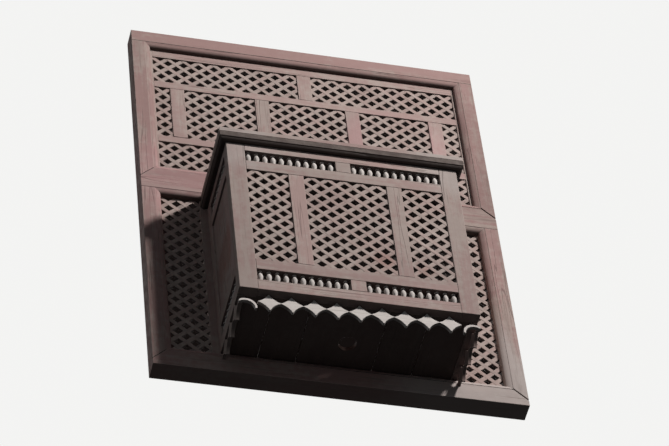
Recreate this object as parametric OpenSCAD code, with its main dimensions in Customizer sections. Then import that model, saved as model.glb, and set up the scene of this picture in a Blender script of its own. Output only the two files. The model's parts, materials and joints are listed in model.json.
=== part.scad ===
// Wooden lattice window with a projecting lattice bay, all fixed in one frame.
// X runs along the wall, -Y points out to the street, and +Z is up.
// The origin is the middle of the sill rail's back face, which lies on the wall.

/* [Frame] */
// Width of the frame over both stiles
frame_w = 1488; // [1300:1:1700]
// Depth of the frame members, from the wall to their face
frame_t = 80; // [78:1:110]
// Height of the sill rail's flat face
sill_h = 87; // [70:1:140]
// Height of the middle rail's flat face
mid_rail_h = 125; // [90:1:150]
// Height of the head's flat face
head_h = 67; // [50:1:140]
// Width of a stile's flat face
stile_flat = 57; // [40:1:80]
// Width of the sloping inner edge round each opening
bevel_w = 24; // [10:1:30]
// Depth of the sloping inner edge
bevel_d = 15; // [4:1:20]
// Depth of the screens' face behind the frame's face
screen_recess = 25; // [20:1:48]

/* [Lattice] */
// Spacing of the lattice holes along a row
hole_pitch_x = 66; // [56:1:80]
// Spacing of the lattice holes up a column
hole_pitch_z = 61; // [52:1:76]
// Width of one lattice lath
lath_w = 19; // [14:1:28]
// Thickness of the lattice
lath_t = 14; // [8:1:16]
// Depth of the lattice's face behind the rails' face
lath_recess = 4; // [0:1:6]

/* [Upper screen] */
// Thickness of the screen's rails and muntins
screen_t = 24; // [20:1:28]
// Height of the screen's top rail
screen_top_rail_h = 43; // [12:1:60]
// Height of the two rails between the bands
screen_rail_h = 39; // [30:1:90]
// Height of the screen's bottom rail
screen_bottom_rail_h = 20; // [12:1:60]
// Height of the top and bottom lattice bands
band_h = 164; // [120:1:220]
// Height of the middle lattice row
row_h = 322; // [240:1:400]
// Width of the screen's muntins
muntin_w = 60; // [40:1:80]
// Width of the screen's outer stiles
screen_stile_w = 10; // [8:1:20]
// Width of the middle row's centre lattice
row_centre_w = 330; // [200:1:400]
// Width of the middle row's narrow lattices, beside the frame
row_narrow_w = 66; // [40:1:100]

/* [Lower screen] */
// Width of the inner stiles that carry the bay
inner_stile_w = 62; // [50:1:90]
// Part of the inner stiles that shows beside the bay
inner_stile_show = 30; // [10:1:40]
// Height of the ledger rail between the bay's roof and the middle rail
ledger_h = 10; // [8:1:60]

/* [Bay] */
// Width of the bay over its corner posts
bay_w = 944; // [880:2:980]
// Distance from the frame's face to the bay's face
bay_out = 331; // [280:1:420]
// Height of the bay's underside over the sill rail's sloping edge
bay_gap = 3; // [2:1:40]
// Width of the corner posts
post_w = 74; // [50:1:90]
// Depth of the corner posts
post_d = 46; // [40:1:70]
// Thickness of the bay's front rails
front_t = 38; // [36:1:50]
// Thickness of the bay's side rails
side_t = 30; // [24:1:40]
// Height of the bottom rail
bottom_rail_h = 56; // [40:1:60]
// Height of the spindle rows
slot_h = 61; // [45:1:90]
// Height of the rail below the lattices
bay_lower_rail_h = 58; // [40:1:80]
// Height of the rail above the lattices
bay_upper_rail_h = 54; // [40:1:80]
// Height of the bay's lattices
bay_lattice_h = 537; // [400:1:700]
// Height of the top rail, up to the roof
top_rail_h = 38; // [24:1:50]
// Width of the muntin between the spindle openings
slot_muntin_w = 60; // [40:1:80]
// Width of the bay's side lattices
bay_side_lattice_w = 168; // [140:1:180]
// Width of the bay's centre lattice
bay_centre_lattice_w = 336; // [300:1:360]
// Thickness of the boarded side panels
panel_t = 16; // [12:1:20]

/* [Spindles] */
// Spacing of the turned spindles
spindle_pitch = 33.5; // [28:0.5:45]
// Largest diameter of a spindle
spindle_d = 22; // [14:1:26]
// Diameter of a spindle's neck
spindle_neck_d = 9; // [7:0.5:12]
// Distance of the front spindles' axis behind the bay's face
spindle_setback = 18; // [14:1:28]

/* [Roof and floor] */
// Thickness of the roof board
roof_t = 39; // [25:1:44]
// Overhang of the roof past the bay's face
roof_front = 25; // [15:1:60]
// Overhang of the roof past the bay's sides
roof_side = 28; // [15:1:60]
// Thickness of the floor boards
floor_t = 22; // [16:1:30]
// Diameter of the round hole in the floor
floor_hole_d = 70; // [40:1:100]
// Distance from the frame's face to the floor hole's centre
floor_hole_out = 106; // [60:1:160]
// Height of the moulding on the roof's edge
roof_moulding_h = 25; // [15:1:40]
// Depth of the moulding on the roof's edge
roof_moulding_w = 20; // [12:1:30]

/* [Valance] */
// Height of the cut valance under the floor
valance_h = 84; // [60:1:90]
// Height left between an upper and a lower notch of the valance
valance_waist = 4; // [3:1:24]
// Width left at the tip of each star
valance_tip = 4; // [2:1:10]
// Radius of the arcs that make the pointed notches between the stars
notch_arc_r = 80; // [60:1:160]
// Thickness of the valance
valance_t = 14; // [10:1:20]
// Setback of the front valance from the bay's front
valance_setback = 25; // [16:1:60]
// Setback of the side valances from the bay's sides
valance_side_setback = 0; // [0:1:8]
// Spacing of the stars cut in the valance
star_pitch = 88.5; // [84:0.5:110]

/* [Hidden] */
$fn = 24;
// How far a cutting shape runs past what it cuts
eps = 1;

// Levels of the sill rail and the bay, from the frame's lower edge up
z_base = -sill_h / 2;
z_sill = z_base + sill_h;
z_low_low = z_sill + bevel_w;
z_bay = z_low_low + bay_gap;
z_slot_low = z_bay + bottom_rail_h;
z_rail_low = z_slot_low + slot_h;
z_lattice = z_rail_low + bay_lower_rail_h;
z_rail_high = z_lattice + bay_lattice_h;
z_slot_high = z_rail_high + bay_upper_rail_h;
z_rail_top = z_slot_high + slot_h;
z_roof = z_rail_top + top_rail_h;
z_roof_top = z_roof + roof_t;

// Levels of the middle rail, the upper screen and the head
z_low_high = z_roof_top + ledger_h;
z_mid = z_low_high + bevel_w;
z_mid_top = z_mid + mid_rail_h;
z_up_low = z_mid_top + bevel_w;
z_bottom_band = z_up_low + screen_bottom_rail_h;
z_row = z_bottom_band + band_h + screen_rail_h;
z_top_band = z_row + row_h + screen_rail_h;
z_up_high = z_top_band + band_h + screen_top_rail_h;
z_head = z_up_high + bevel_w;
z_top = z_head + head_h;

// Places in the frame and the upper screen
frame_x = frame_w / 2;
stile_w = stile_flat + bevel_w;
open_x = frame_x - stile_w;
y_face = -frame_t;
y_screen = y_face + screen_recess;
y_screen_back = y_screen + screen_t;
screen_x = open_x - screen_stile_w;
band_lattice_w = screen_x - muntin_w / 2;
row_wide_x = row_centre_w / 2 + muntin_w;
row_narrow_x = screen_x - row_narrow_w;
row_wide_w = row_narrow_x - muntin_w - row_wide_x;

// Places in the lower screen and the bay
bay_x = bay_w / 2;
y_bay = y_face - bay_out;
y_post_back = y_bay + post_d;
y_back_post = y_screen - post_d;
inner_stile_x = bay_x + inner_stile_show - inner_stile_w;
strip_w = open_x - bay_x - inner_stile_show;
post_x = bay_x - post_w;
slot_w = post_x - slot_muntin_w / 2;
bay_muntin_w = (2 * post_x - bay_centre_lattice_w - 2 * bay_side_lattice_w) / 2;
side_y0 = y_post_back;
side_len = y_back_post - y_post_back;
valance_x = bay_x - valance_side_setback;
y_valance = y_bay + valance_setback;
notch_h = (valance_h - valance_waist) / 2;
notch_w = (star_pitch - valance_tip) / 2;

// Weathered paint: screens, frame, turned and cut work, roof, floor
wood = [0.62, 0.53, 0.50];
wood_red = [0.58, 0.45, 0.44];
wood_pale = [0.74, 0.70, 0.67];
wood_grey = [0.45, 0.42, 0.40];
wood_dark = [0.30, 0.26, 0.25];

// A plain bar between two corners
module bar(x0, x1, y0, y1, z0, z1) {
  translate([x0, y0, z0]) cube([x1 - x0, y1 - y0, z1 - z0]);
}

// A frame member: its outline on the wall plane, drawn out to the face
module member(outline) {
  rotate([90, 0, 0]) linear_extrude(frame_t) polygon(outline);
}

// What a level member's sloping edge takes away, at height z, going up or down
module level_bevel(z, up) {
  translate([-frame_x - eps, 0, z]) rotate([90, 0, 90]) linear_extrude(frame_w + 2 * eps)
    polygon([[y_face - eps, -up * eps], [y_face - eps, up * (bevel_w + eps)],
             [y_face + bevel_d * (1 + eps / bevel_w), up * (bevel_w + eps)],
             [y_face, 0], [y_face, -up * eps]]);
}

// What a stile's sloping edge takes away, at the stile on the left
module stile_bevel() {
  x = -frame_x + stile_flat;
  translate([0, 0, z_base]) linear_extrude(z_top - z_base)
    polygon([[x, y_face - eps], [x, y_face], [x + bevel_w + eps, y_face + bevel_d * (1 + eps / bevel_w)],
             [x + bevel_w + eps, y_face - eps]]);
}

// Where a level member meets the left stile, with its flat's edge at z, from the outside in
function butt_corner(z, up) = [[-frame_x, z], [-open_x - bevel_w, z], [-open_x, z + up * bevel_w]];
function mitre_corner(z, up) = [[-frame_x, z - up * stile_flat], [-open_x, z + up * bevel_w]];

// A level member's edge from left to right, with a corner like the left one at its right end
function reversed(points) = [for (i = [len(points) - 1:-1:0]) points[i]];
function level_edge(corner) = concat(corner, [for (p = reversed(corner)) [-p.x, p.y]]);

module frame_head() {
  color(wood_red) difference() {
    member(concat(level_edge(butt_corner(z_head, -1)), [[frame_x, z_top], [-frame_x, z_top]]));
    level_bevel(z_head, -1);
  }
}

module frame_mid_rail() {
  color(wood_red) difference() {
    member(concat(level_edge(butt_corner(z_mid, -1)), reversed(level_edge(mitre_corner(z_mid_top, 1)))));
    level_bevel(z_mid, -1);
    level_bevel(z_mid_top, 1);
  }
}

module frame_sill_rail() {
  color(wood_red) difference() {
    member(concat([[-frame_x, z_base], [frame_x, z_base]], reversed(level_edge(mitre_corner(z_sill, 1)))));
    level_bevel(z_sill, 1);
  }
}

// A left-hand stile between two corners: mitred below, butted under a rail above
module stile(z_low, z_high) {
  color(wood_red) difference() {
    member(concat(mitre_corner(z_low, 1), reversed(butt_corner(z_high, -1))));
    stile_bevel();
  }
}

module upper_stile_left() { stile(z_mid_top, z_head); }
module upper_stile_right() { mirror([1, 0, 0]) stile(z_mid_top, z_head); }
module lower_stile_left() { stile(z_sill, z_mid); }
module lower_stile_right() { mirror([1, 0, 0]) stile(z_sill, z_mid); }

// Crossed laths in a w by h opening whose lower left corner is the origin.
// With corner set, a row of holes starts at the upper left corner, or else half a pitch beside it.
module laths(w, h, corner) {
  reach = ceil(w / hole_pitch_x + h / hole_pitch_z) + 1;
  slope = atan2(hole_pitch_z, hole_pitch_x);
  shift = corner ? 0.5 : 0;
  lath_len = 4 * (w + h);
  intersection() {
    square([w, h]);
    translate([0, h]) for (side = [-1, 1], k = [-reach:reach])
      translate([(k + shift) * hole_pitch_x, 0]) rotate(side * slope)
        square([lath_len, lath_w], center = true);
  }
}

// A lattice standing in the wall plane, with its face at y and its lower left corner at x, z
module lattice(x, y, z, w, h, corner = true) {
  translate([x, y + lath_recess + lath_t, z]) rotate([90, 0, 0]) linear_extrude(lath_t) laths(w, h, corner);
}

// A rail of the upper screen between two heights
module screen_rail(z0, z1) {
  color(wood) bar(-screen_x, screen_x, y_screen, y_screen_back, z0, z1);
}

module screen_top_rail() { screen_rail(z_top_band + band_h, z_up_high); }
module screen_upper_rail() { screen_rail(z_row + row_h, z_top_band); }
module screen_lower_rail() { screen_rail(z_bottom_band + band_h, z_row); }
module screen_bottom_rail() { screen_rail(z_up_low, z_bottom_band); }

module screen_stiles() {
  color(wood) for (s = [0, 1]) mirror([s, 0, 0])
    bar(screen_x, open_x, y_screen, y_screen_back, z_up_low, z_up_high);
}

module screen_muntins() {
  color(wood) {
    for (z = [z_bottom_band, z_top_band])
      bar(-muntin_w / 2, muntin_w / 2, y_screen, y_screen_back, z, z + band_h);
    for (s = [0, 1], x = [row_wide_x, row_narrow_x]) mirror([s, 0, 0])
      bar(x - muntin_w, x, y_screen, y_screen_back, z_row, z_row + row_h);
  }
}

// Two lattices side by side in a band of the upper screen
module band_lattices(z) {
  color(wood) {
    lattice(-screen_x, y_screen, z, band_lattice_w, band_h, false);
    mirror([1, 0, 0]) lattice(-screen_x, y_screen, z, band_lattice_w, band_h, false);
  }
}

module lattice_top_band() { band_lattices(z_top_band); }
module lattice_bottom_band() { band_lattices(z_bottom_band); }

module lattice_middle_row() {
  color(wood) {
    lattice(-row_centre_w / 2, y_screen, z_row, row_centre_w, row_h);
    for (s = [0, 1]) mirror([s, 0, 0]) {
      lattice(-row_wide_x - row_wide_w, y_screen, z_row, row_wide_w, row_h);
      lattice(-screen_x, y_screen, z_row, row_narrow_w, row_h, false);
    }
  }
}

module ledger_rail() {
  color(wood) bar(-inner_stile_x, inner_stile_x, y_screen, y_screen_back, z_roof_top, z_low_high);
}

module inner_stile() {
  color(wood)
    bar(-inner_stile_x - inner_stile_w, -inner_stile_x, y_screen, y_screen_back, z_low_low, z_low_high);
}

module inner_stile_left() { inner_stile(); }
module inner_stile_right() { mirror([1, 0, 0]) inner_stile(); }

module strip_lattice() {
  color(wood) lattice(-open_x, y_screen, z_low_low, strip_w, z_low_high - z_low_low, false);
}

module strip_lattice_left() { strip_lattice(); }
module strip_lattice_right() { mirror([1, 0, 0]) strip_lattice(); }

module bay_post() {
  color(wood) bar(-bay_x, -post_x, y_bay, y_post_back, z_bay, z_roof);
}

module bay_post_left() { bay_post(); }
module bay_post_right() { mirror([1, 0, 0]) bay_post(); }

module bay_back_post() {
  color(wood) bar(-bay_x, -bay_x + side_t, y_back_post, y_screen, z_bay, z_roof);
}

module bay_back_post_left() { bay_back_post(); }
module bay_back_post_right() { mirror([1, 0, 0]) bay_back_post(); }

// A front rail of the bay between its corner posts
module bay_rail(z, h) {
  color(wood) bar(-post_x, post_x, y_bay, y_bay + front_t, z, z + h);
}

module bay_bottom_rail() { bay_rail(z_bay, bottom_rail_h); }
module bay_lower_rail() { bay_rail(z_rail_low, bay_lower_rail_h); }
module bay_upper_rail() { bay_rail(z_rail_high, bay_upper_rail_h); }
module bay_top_rail() { bay_rail(z_rail_top, top_rail_h); }

module bay_muntins() {
  color(wood) {
    for (z = [z_slot_low, z_slot_high])
      bar(-slot_muntin_w / 2, slot_muntin_w / 2, y_bay, y_bay + front_t, z, z + slot_h);
    for (s = [0, 1]) mirror([s, 0, 0])
      bar(bay_centre_lattice_w / 2, bay_centre_lattice_w / 2 + bay_muntin_w, y_bay, y_bay + front_t,
          z_lattice, z_rail_high);
  }
}

// A lattice of the bay's front, from its left edge x
module bay_lattice(x, w) {
  color(wood) lattice(x, y_bay, z_lattice, w, bay_lattice_h);
}

module bay_lattice_left() { bay_lattice(-post_x, bay_side_lattice_w); }
module bay_lattice_centre() { bay_lattice(-bay_centre_lattice_w / 2, bay_centre_lattice_w); }
module bay_lattice_right() { bay_lattice(post_x - bay_side_lattice_w, bay_side_lattice_w); }

// The four rails of a bay side, between the corner post and the back post
module side_rails() {
  color(wood) for (r = [[z_bay, bottom_rail_h], [z_rail_low, bay_lower_rail_h],
                        [z_rail_high, bay_upper_rail_h], [z_rail_top, top_rail_h]])
    bar(-bay_x, -bay_x + side_t, side_y0, y_back_post, r[0], r[0] + r[1]);
}

module side_rails_left() { side_rails(); }
module side_rails_right() { mirror([1, 0, 0]) side_rails(); }

module side_panel() {
  x = -bay_x + (side_t - panel_t) / 2;
  color(wood) bar(x, x + panel_t, side_y0, y_back_post, z_lattice, z_rail_high);
}

module side_panel_left() { side_panel(); }
module side_panel_right() { mirror([1, 0, 0]) side_panel(); }

// One turned spindle, standing on z = 0
module spindle() {
  collar_h = 8;
  collar_r = 0.4 * spindle_d;
  cove_h = 3;
  neck_r = spindle_neck_d / 2;
  belly_r = spindle_d / 2;
  belly_z0 = collar_h + 0.3 * (slot_h - 2 * collar_h);
  belly_z1 = collar_h + 0.4 * (slot_h - 2 * collar_h);
  rotate_extrude() polygon([[0, 0], [collar_r, 0], [collar_r, collar_h], [neck_r, collar_h + cove_h],
                            [belly_r, belly_z0], [belly_r, belly_z1], [neck_r, slot_h - collar_h - cove_h],
                            [collar_r, slot_h - collar_h], [collar_r, slot_h], [0, slot_h]]);
}

// A row of spindles that fills a length from the origin along X, evenly spaced
module spindle_row(len) {
  count = round(len / spindle_pitch);
  for (i = [0:count - 1]) translate([(i + 0.5) * len / count, 0, 0]) spindle();
}

// Every spindle at one level: both front openings and both sides
module spindle_ring(z) {
  color(wood_pale) for (s = [0, 1]) mirror([s, 0, 0]) {
    translate([slot_muntin_w / 2, y_bay + spindle_setback, z]) spindle_row(slot_w);
    translate([bay_x - side_t / 2, side_y0, z]) rotate(90) spindle_row(side_len);
  }
}

module spindles_bottom() { spindle_ring(z_slot_low); }
module spindles_top() { spindle_ring(z_slot_high); }

module roof_board() {
  color(wood_grey)
    bar(-bay_x - roof_side, bay_x + roof_side, y_bay - roof_front, y_screen, z_roof, z_roof_top);
}

// A strip that stands on the roof's edge, round the front and both sides
module roof_moulding() {
  x = bay_x + roof_side;
  y = y_bay - roof_front;
  w = roof_moulding_w;
  color(wood_pale) difference() {
    bar(-x, x, y, y_face, z_roof_top, z_roof_top + roof_moulding_h);
    bar(-x + w, x - w, y + w, y_face + eps, z_roof_top - eps, z_roof_top + roof_moulding_h + eps);
  }
}

module floor_boards() {
  color(wood_dark) difference() {
    bar(-bay_x + side_t, bay_x - side_t, y_bay + front_t, y_screen, z_bay, z_bay + floor_t);
    translate([0, y_face - floor_hole_out, z_bay - eps]) cylinder(d = floor_hole_d, h = floor_t + 2 * eps);
  }
}

// A notch of the valance: a pointed arch over the origin, between two arcs that meet at its tip
module notch() {
  chord = norm([notch_w, notch_h]);
  // How far an arc's centre lies behind the middle of its chord, in chords
  away = sqrt(pow(notch_arc_r, 2) - pow(chord / 2, 2)) / chord;
  centre = [notch_w / 2 - away * notch_h, notch_h / 2 - away * notch_w];
  intersection() {
    translate(centre) circle(notch_arc_r, $fn = 96);
    translate([-centre.x, centre.y]) circle(notch_arc_r, $fn = 96);
  }
}

// A board with notches in both edges, which leave a row of stars with one at its middle
module star_board(len) {
  count = ceil(len / 2 / star_pitch);
  difference() {
    square([len, valance_h]);
    for (i = [-count:count]) translate([len / 2 + (i + 0.5) * star_pitch, 0]) {
      notch();
      translate([0, valance_h]) mirror([0, 1]) notch();
    }
  }
}

module valance_front() {
  color(wood_pale) translate([-valance_x, y_valance + valance_t, z_bay - valance_h]) rotate([90, 0, 0])
    linear_extrude(valance_t) star_board(2 * valance_x);
}

module valance_side() {
  len = y_face - y_valance - valance_t;
  color(wood_pale) translate([valance_x - valance_t, y_valance + valance_t, z_bay - valance_h])
    rotate([90, 0, 90]) linear_extrude(valance_t) star_board(len);
}

module valance_left() { mirror([1, 0, 0]) valance_side(); }
module valance_right() { valance_side(); }

frame_head();
frame_mid_rail();
frame_sill_rail();
upper_stile_left();
upper_stile_right();
lower_stile_left();
lower_stile_right();
screen_top_rail();
screen_upper_rail();
screen_lower_rail();
screen_bottom_rail();
screen_stiles();
screen_muntins();
lattice_top_band();
lattice_middle_row();
lattice_bottom_band();
ledger_rail();
inner_stile_left();
inner_stile_right();
strip_lattice_left();
strip_lattice_right();
bay_post_left();
bay_post_right();
bay_back_post_left();
bay_back_post_right();
bay_bottom_rail();
bay_lower_rail();
bay_upper_rail();
bay_top_rail();
bay_muntins();
bay_lattice_left();
bay_lattice_centre();
bay_lattice_right();
side_rails_left();
side_rails_right();
side_panel_left();
side_panel_right();
spindles_bottom();
spindles_top();
roof_board();
roof_moulding();
floor_boards();
valance_front();
valance_left();
valance_right();
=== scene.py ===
"""Finish of a weathered wooden lattice window with a projecting lattice bay.

X runs along the wall, -Y points out to the street and +Z is up, in metres. Each solid of the loaded
model is replaced by boards, laths, turned spindles and mouldings that stand in its place, and each
board carries the direction of its grain, so that its streaks run along it.
"""
import json
import math
import random

import bmesh
import bpy
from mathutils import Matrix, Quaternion, Vector

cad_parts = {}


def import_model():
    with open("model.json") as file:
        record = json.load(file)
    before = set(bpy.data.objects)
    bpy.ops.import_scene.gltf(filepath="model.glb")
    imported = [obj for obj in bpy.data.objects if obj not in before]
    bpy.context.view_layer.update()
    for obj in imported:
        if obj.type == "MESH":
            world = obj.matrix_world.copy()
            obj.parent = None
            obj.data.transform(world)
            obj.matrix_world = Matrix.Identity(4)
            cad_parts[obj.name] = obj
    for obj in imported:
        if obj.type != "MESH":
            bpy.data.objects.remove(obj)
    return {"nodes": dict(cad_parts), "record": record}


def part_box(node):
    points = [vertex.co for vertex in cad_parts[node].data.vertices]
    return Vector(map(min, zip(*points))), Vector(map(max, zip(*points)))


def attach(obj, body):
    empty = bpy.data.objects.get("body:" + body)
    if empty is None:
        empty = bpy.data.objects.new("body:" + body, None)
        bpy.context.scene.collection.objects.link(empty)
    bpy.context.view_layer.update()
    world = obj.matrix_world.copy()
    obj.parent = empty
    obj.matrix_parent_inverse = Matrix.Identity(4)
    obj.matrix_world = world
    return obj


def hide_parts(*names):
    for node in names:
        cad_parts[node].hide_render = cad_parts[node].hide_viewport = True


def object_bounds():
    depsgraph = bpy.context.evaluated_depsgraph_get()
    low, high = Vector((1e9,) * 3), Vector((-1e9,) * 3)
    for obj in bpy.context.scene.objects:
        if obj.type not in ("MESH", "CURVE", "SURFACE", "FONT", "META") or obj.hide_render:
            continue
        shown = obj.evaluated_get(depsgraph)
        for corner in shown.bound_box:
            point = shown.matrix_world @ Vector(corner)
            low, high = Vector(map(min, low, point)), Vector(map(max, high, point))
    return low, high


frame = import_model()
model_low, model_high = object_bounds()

MM = 0.001
X_AXIS = Vector((1, 0, 0))
Y_AXIS = Vector((0, 1, 0))
Z_AXIS = Vector((0, 0, 1))

# Boards: the gap at a joint, the arrises taken off them, and the least fold that has an arris
JOINT_GAP = 0.4 * MM
ARRIS = 2.0 * MM
FINE_ARRIS = 1.0 * MM
ARRIS_FOLD = math.radians(25)
# Material number that marks a board's worn arrises while it is made
WORN_MARK = 1
# Each board's seed, and how far its pattern slides along the grain, in metres
SEEDS = (1, 60)
SLIDES = (0, 30)
# A face is end grain up to this sine of the angle between its normal and the grain
END_GRAIN = 0.35
# Corners of a solid that are closer than this are one
SAME_PLACE = 0.01 * MM

# Outer frame: its front and back, half its width, and the flat faces of its members
FRAME_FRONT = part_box("frame_head")[0].y
FRAME_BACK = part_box("frame_head")[1].y
FRAME_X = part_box("frame_head")[1].x
FLAT_W = 57 * MM
FLAT_X = FRAME_X - FLAT_W
FLAT_ARRIS_STEPS = 2
# The slope round an opening is an arc, which carries on from the arris of the flat beside it
SLOPE_W = 24 * MM
SLOPE_START = 1.8 * MM
SLOPE_END = 18 * MM
SLOPE_FROM = math.radians(22)
SLOPE_STEPS = 7
# How far the mitres have opened on each side, and how deep
MITRE_GAPS = {"left": 1.2 * MM, "right": 4.0 * MM}
MITRE_OPEN_DEPTH = 12 * MM
# The worn band along the lower edge of the middle rail, and the height in which it fades out
WORN_H = 24 * MM
WORN_FADE = 9 * MM

# Lattices: the pitch of their holes, and the laths, which lie in two layers a step apart
HOLE_PITCH_X = 66 * MM
HOLE_PITCH_Z = 61 * MM
LATH_W = 19 * MM
LATH_ARRIS = 1.4 * MM
LATH_HOUSED = 5 * MM
LATH_STEP = 0.6 * MM
# A lath is made with this reach each way, and then cut to its opening
LATH_REACH = 2.0
# Its long edges are those with more than this part of their direction along it
LATH_LONG = 0.9
# How far laths wander: the spread of their slope in radians and of their place, their widths and depth
LATH_TILT = 0.0012
LATH_SHIFT = 0.5 * MM
LATH_WIDTHS = (0.95, 1.05)
LATH_SINK = 0.4 * MM

# The muntin that has opened at its foot: the gap there, and how far the foot bows down into it
OPEN_FOOT = 4 * MM
OPEN_FOOT_BOW = 3 * MM
OPEN_FOOT_STEPS = 8

# Turned spindles, as shares of their largest radius and of their height
SPINDLE_PROFILE = [
    (0.80, 0.000), (0.80, 0.075), (0.70, 0.095), (0.50, 0.110), (0.46, 0.150), (0.54, 0.210),
    (0.70, 0.290), (0.86, 0.380), (0.96, 0.470), (1.00, 0.550), (0.97, 0.630), (0.86, 0.710),
    (0.70, 0.780), (0.54, 0.840), (0.50, 0.875), (0.70, 0.900), (0.80, 0.920), (0.80, 1.000),
]
SPINDLE_SIDES = 18
SPINDLE_RADII = (0.94, 1.0)
SPINDLE_CREASE = math.radians(50)

# Boards in each side of the bay
SIDE_BOARDS = 3

# Joints of the floor boards, as places along X, how far the boards draw in from each, and how far their
# undersides differ
FLOOR_JOINTS = [-328 * MM, -179 * MM, 124 * MM, 283 * MM]
FLOOR_JOINT_GAP = 1.5 * MM
FLOOR_UNEVEN = 1.0 * MM
HOLE_STEPS = 32

# The roof's edge from its underside up, as distance out from the planks and height
ROOF_EDGE = 18 * MM
ROOF_PROFILE = [
    (0, 0), (7 * MM, 0), (9 * MM, 1.5 * MM), (12 * MM, 5 * MM), (14.5 * MM, 9 * MM), (17 * MM, 10.5 * MM),
    (ROOF_EDGE, 11.5 * MM), (ROOF_EDGE, 37.5 * MM), (16.5 * MM, 39 * MM), (0, 39 * MM),
]
# The planks inside it: their joints as shares of the way to the wall, and how far they stand back from
# the roof's underside and its top
PLANK_JOINTS = [0, 0.30, 0.66, 1]
PLANK_RAISED = 2 * MM
PLANK_SUNK = 1 * MM
# The strip that stands on the roof's edge
STRIP_W = 20 * MM
STRIP_PROFILE = [
    (0, 0), (19.5 * MM, 0), (STRIP_W, 0.5 * MM), (STRIP_W, 19 * MM), (19 * MM, 22.5 * MM),
    (16.5 * MM, 24.5 * MM), (13 * MM, 25 * MM), (1 * MM, 25 * MM), (0, 24 * MM),
]

# Cut valance
STAR_PITCH = 88.5 * MM
STAR_WAIST = 4 * MM
STAR_TIP = 4 * MM
NOTCH_ARC_R = 80 * MM
NOTCH_STEPS = 12
# Arch at each end of the front valance: its radius, and its centre's place from the end and from below,
# then the radius of the round that is cut out of it, and how far that lies to the end and down
ARCH_R = 42 * MM
ARCH_INSET = 27 * MM
ARCH_Z = 9.5 * MM
ARCH_CUT_R = 37 * MM
ARCH_CUT_SIDE = 3 * MM
ARCH_CUT_DROP = 7 * MM
ARCH_STEPS = 20

# Painted shade starts where this part of a face's normal points down, and is full this much further on
UNDERSIDE_FROM = 0.35
UNDERSIDE_RANGE = 0.4
# Painted shade on a face towards the bay's hollow, which is one that has the hollow this far in front of it
HOLLOW_SHADE = 0.8
HOLLOW_REACH = 4 * MM
# Sides of a lath, with full painted shade: faces with less than this part of their normal along Y
SIDEWAYS = 0.5
# The bay's hollow, from the back of its front lattices to the wall
hollow_low = Vector((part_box("side_rails_left")[1].x,
                     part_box("bay_lattice_centre")[1].y,
                     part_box("floor_boards")[1].z))
hollow_high = Vector((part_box("side_rails_right")[0].x, 0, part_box("roof_board")[0].z))

# Stage: the pale colour that the camera sees, and the floor
PALE = (0.90, 0.90, 0.89, 1.0)
FLOOR_Z = -12.5
FLOOR_REACH = 400
FLOOR_COLOUR = (0.6, 0.6, 0.59, 1)
FLOOR_GLOW = 0.78
# The backdrop's place, in from the frame's edges and behind its back
BACKDROP_INSET = 12 * MM
BACKDROP_GAP = 3 * MM
# Light: the even fill, and two lamps with the directions that they shine from
FILL = 0.075
FILL_COLOUR = (0.86, 1.0, 1.14, 1.0)
LAMP_DISTANCE = 9.0
LAMP_SIZE = 1.0
KEY_FROM = Vector((0.72, -1.0, 0.74))
KEY_POWER = 1040
BACK_FROM = Vector((0.4, 1.0, 0.75))
BACK_POWER = 420
# Camera: below and to the left, aimed under the window's middle, with the photograph's roll
CAMERA_AT = Vector((-2.937, -8.879, -9.884))
CAMERA_AIM_DROP = 0.2465
CAMERA_ROLL = math.radians(-7.38)
CAMERA_LENS = 190
CAMERA_SENSOR_W = 36
CAMERA_CLIP_END = 1000

rng = random.Random(7)
slot_of = {part["node"]: part["material_slot"] for part in frame["record"]["subparts"]}


# Reading the model

def solids(node):
    """Lowest and highest corner of each separate solid of a node, sorted by X, Z and Y to 0.1 mm."""
    bm = bmesh.new()
    bm.from_mesh(frame["nodes"][node].data)
    bmesh.ops.remove_doubles(bm, verts=bm.verts, dist=SAME_PLACE)
    left = set(bm.verts)
    boxes = []
    while left:
        stack = [left.pop()]
        low, high = stack[0].co.copy(), stack[0].co.copy()
        while stack:
            vert = stack.pop()
            low = Vector(map(min, low, vert.co))
            high = Vector(map(max, high, vert.co))
            for edge in vert.link_edges:
                other = edge.other_vert(vert)
                if other in left:
                    left.remove(other)
                    stack.append(other)
        boxes.append((low, high))
    bm.free()
    return sorted(boxes, key=lambda box: [round(c, 4) for c in (box[0].x, box[0].z, box[0].y)])


def at(node, share_x, share_z, share_y=0):
    """Place in a node, as shares of its width, height and depth, on its front where no depth is given."""
    low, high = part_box(node)
    size = high - low
    return Vector((low.x + size.x * share_x, low.y + size.y * share_y, low.z + size.z * share_z))


def painted_shade_on(place, normal):
    """Painted shade on a face, from 0 to 1: full on an underside, less on what faces the bay's hollow."""
    under = min(max((-normal.z - UNDERSIDE_FROM) / UNDERSIDE_RANGE, 0), 1)
    beside = place + normal * HOLLOW_REACH
    inside = all(hollow_low[i] < beside[i] < hollow_high[i] for i in range(3))
    return max(under, HOLLOW_SHADE if inside else 0)


# Building boards

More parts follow.
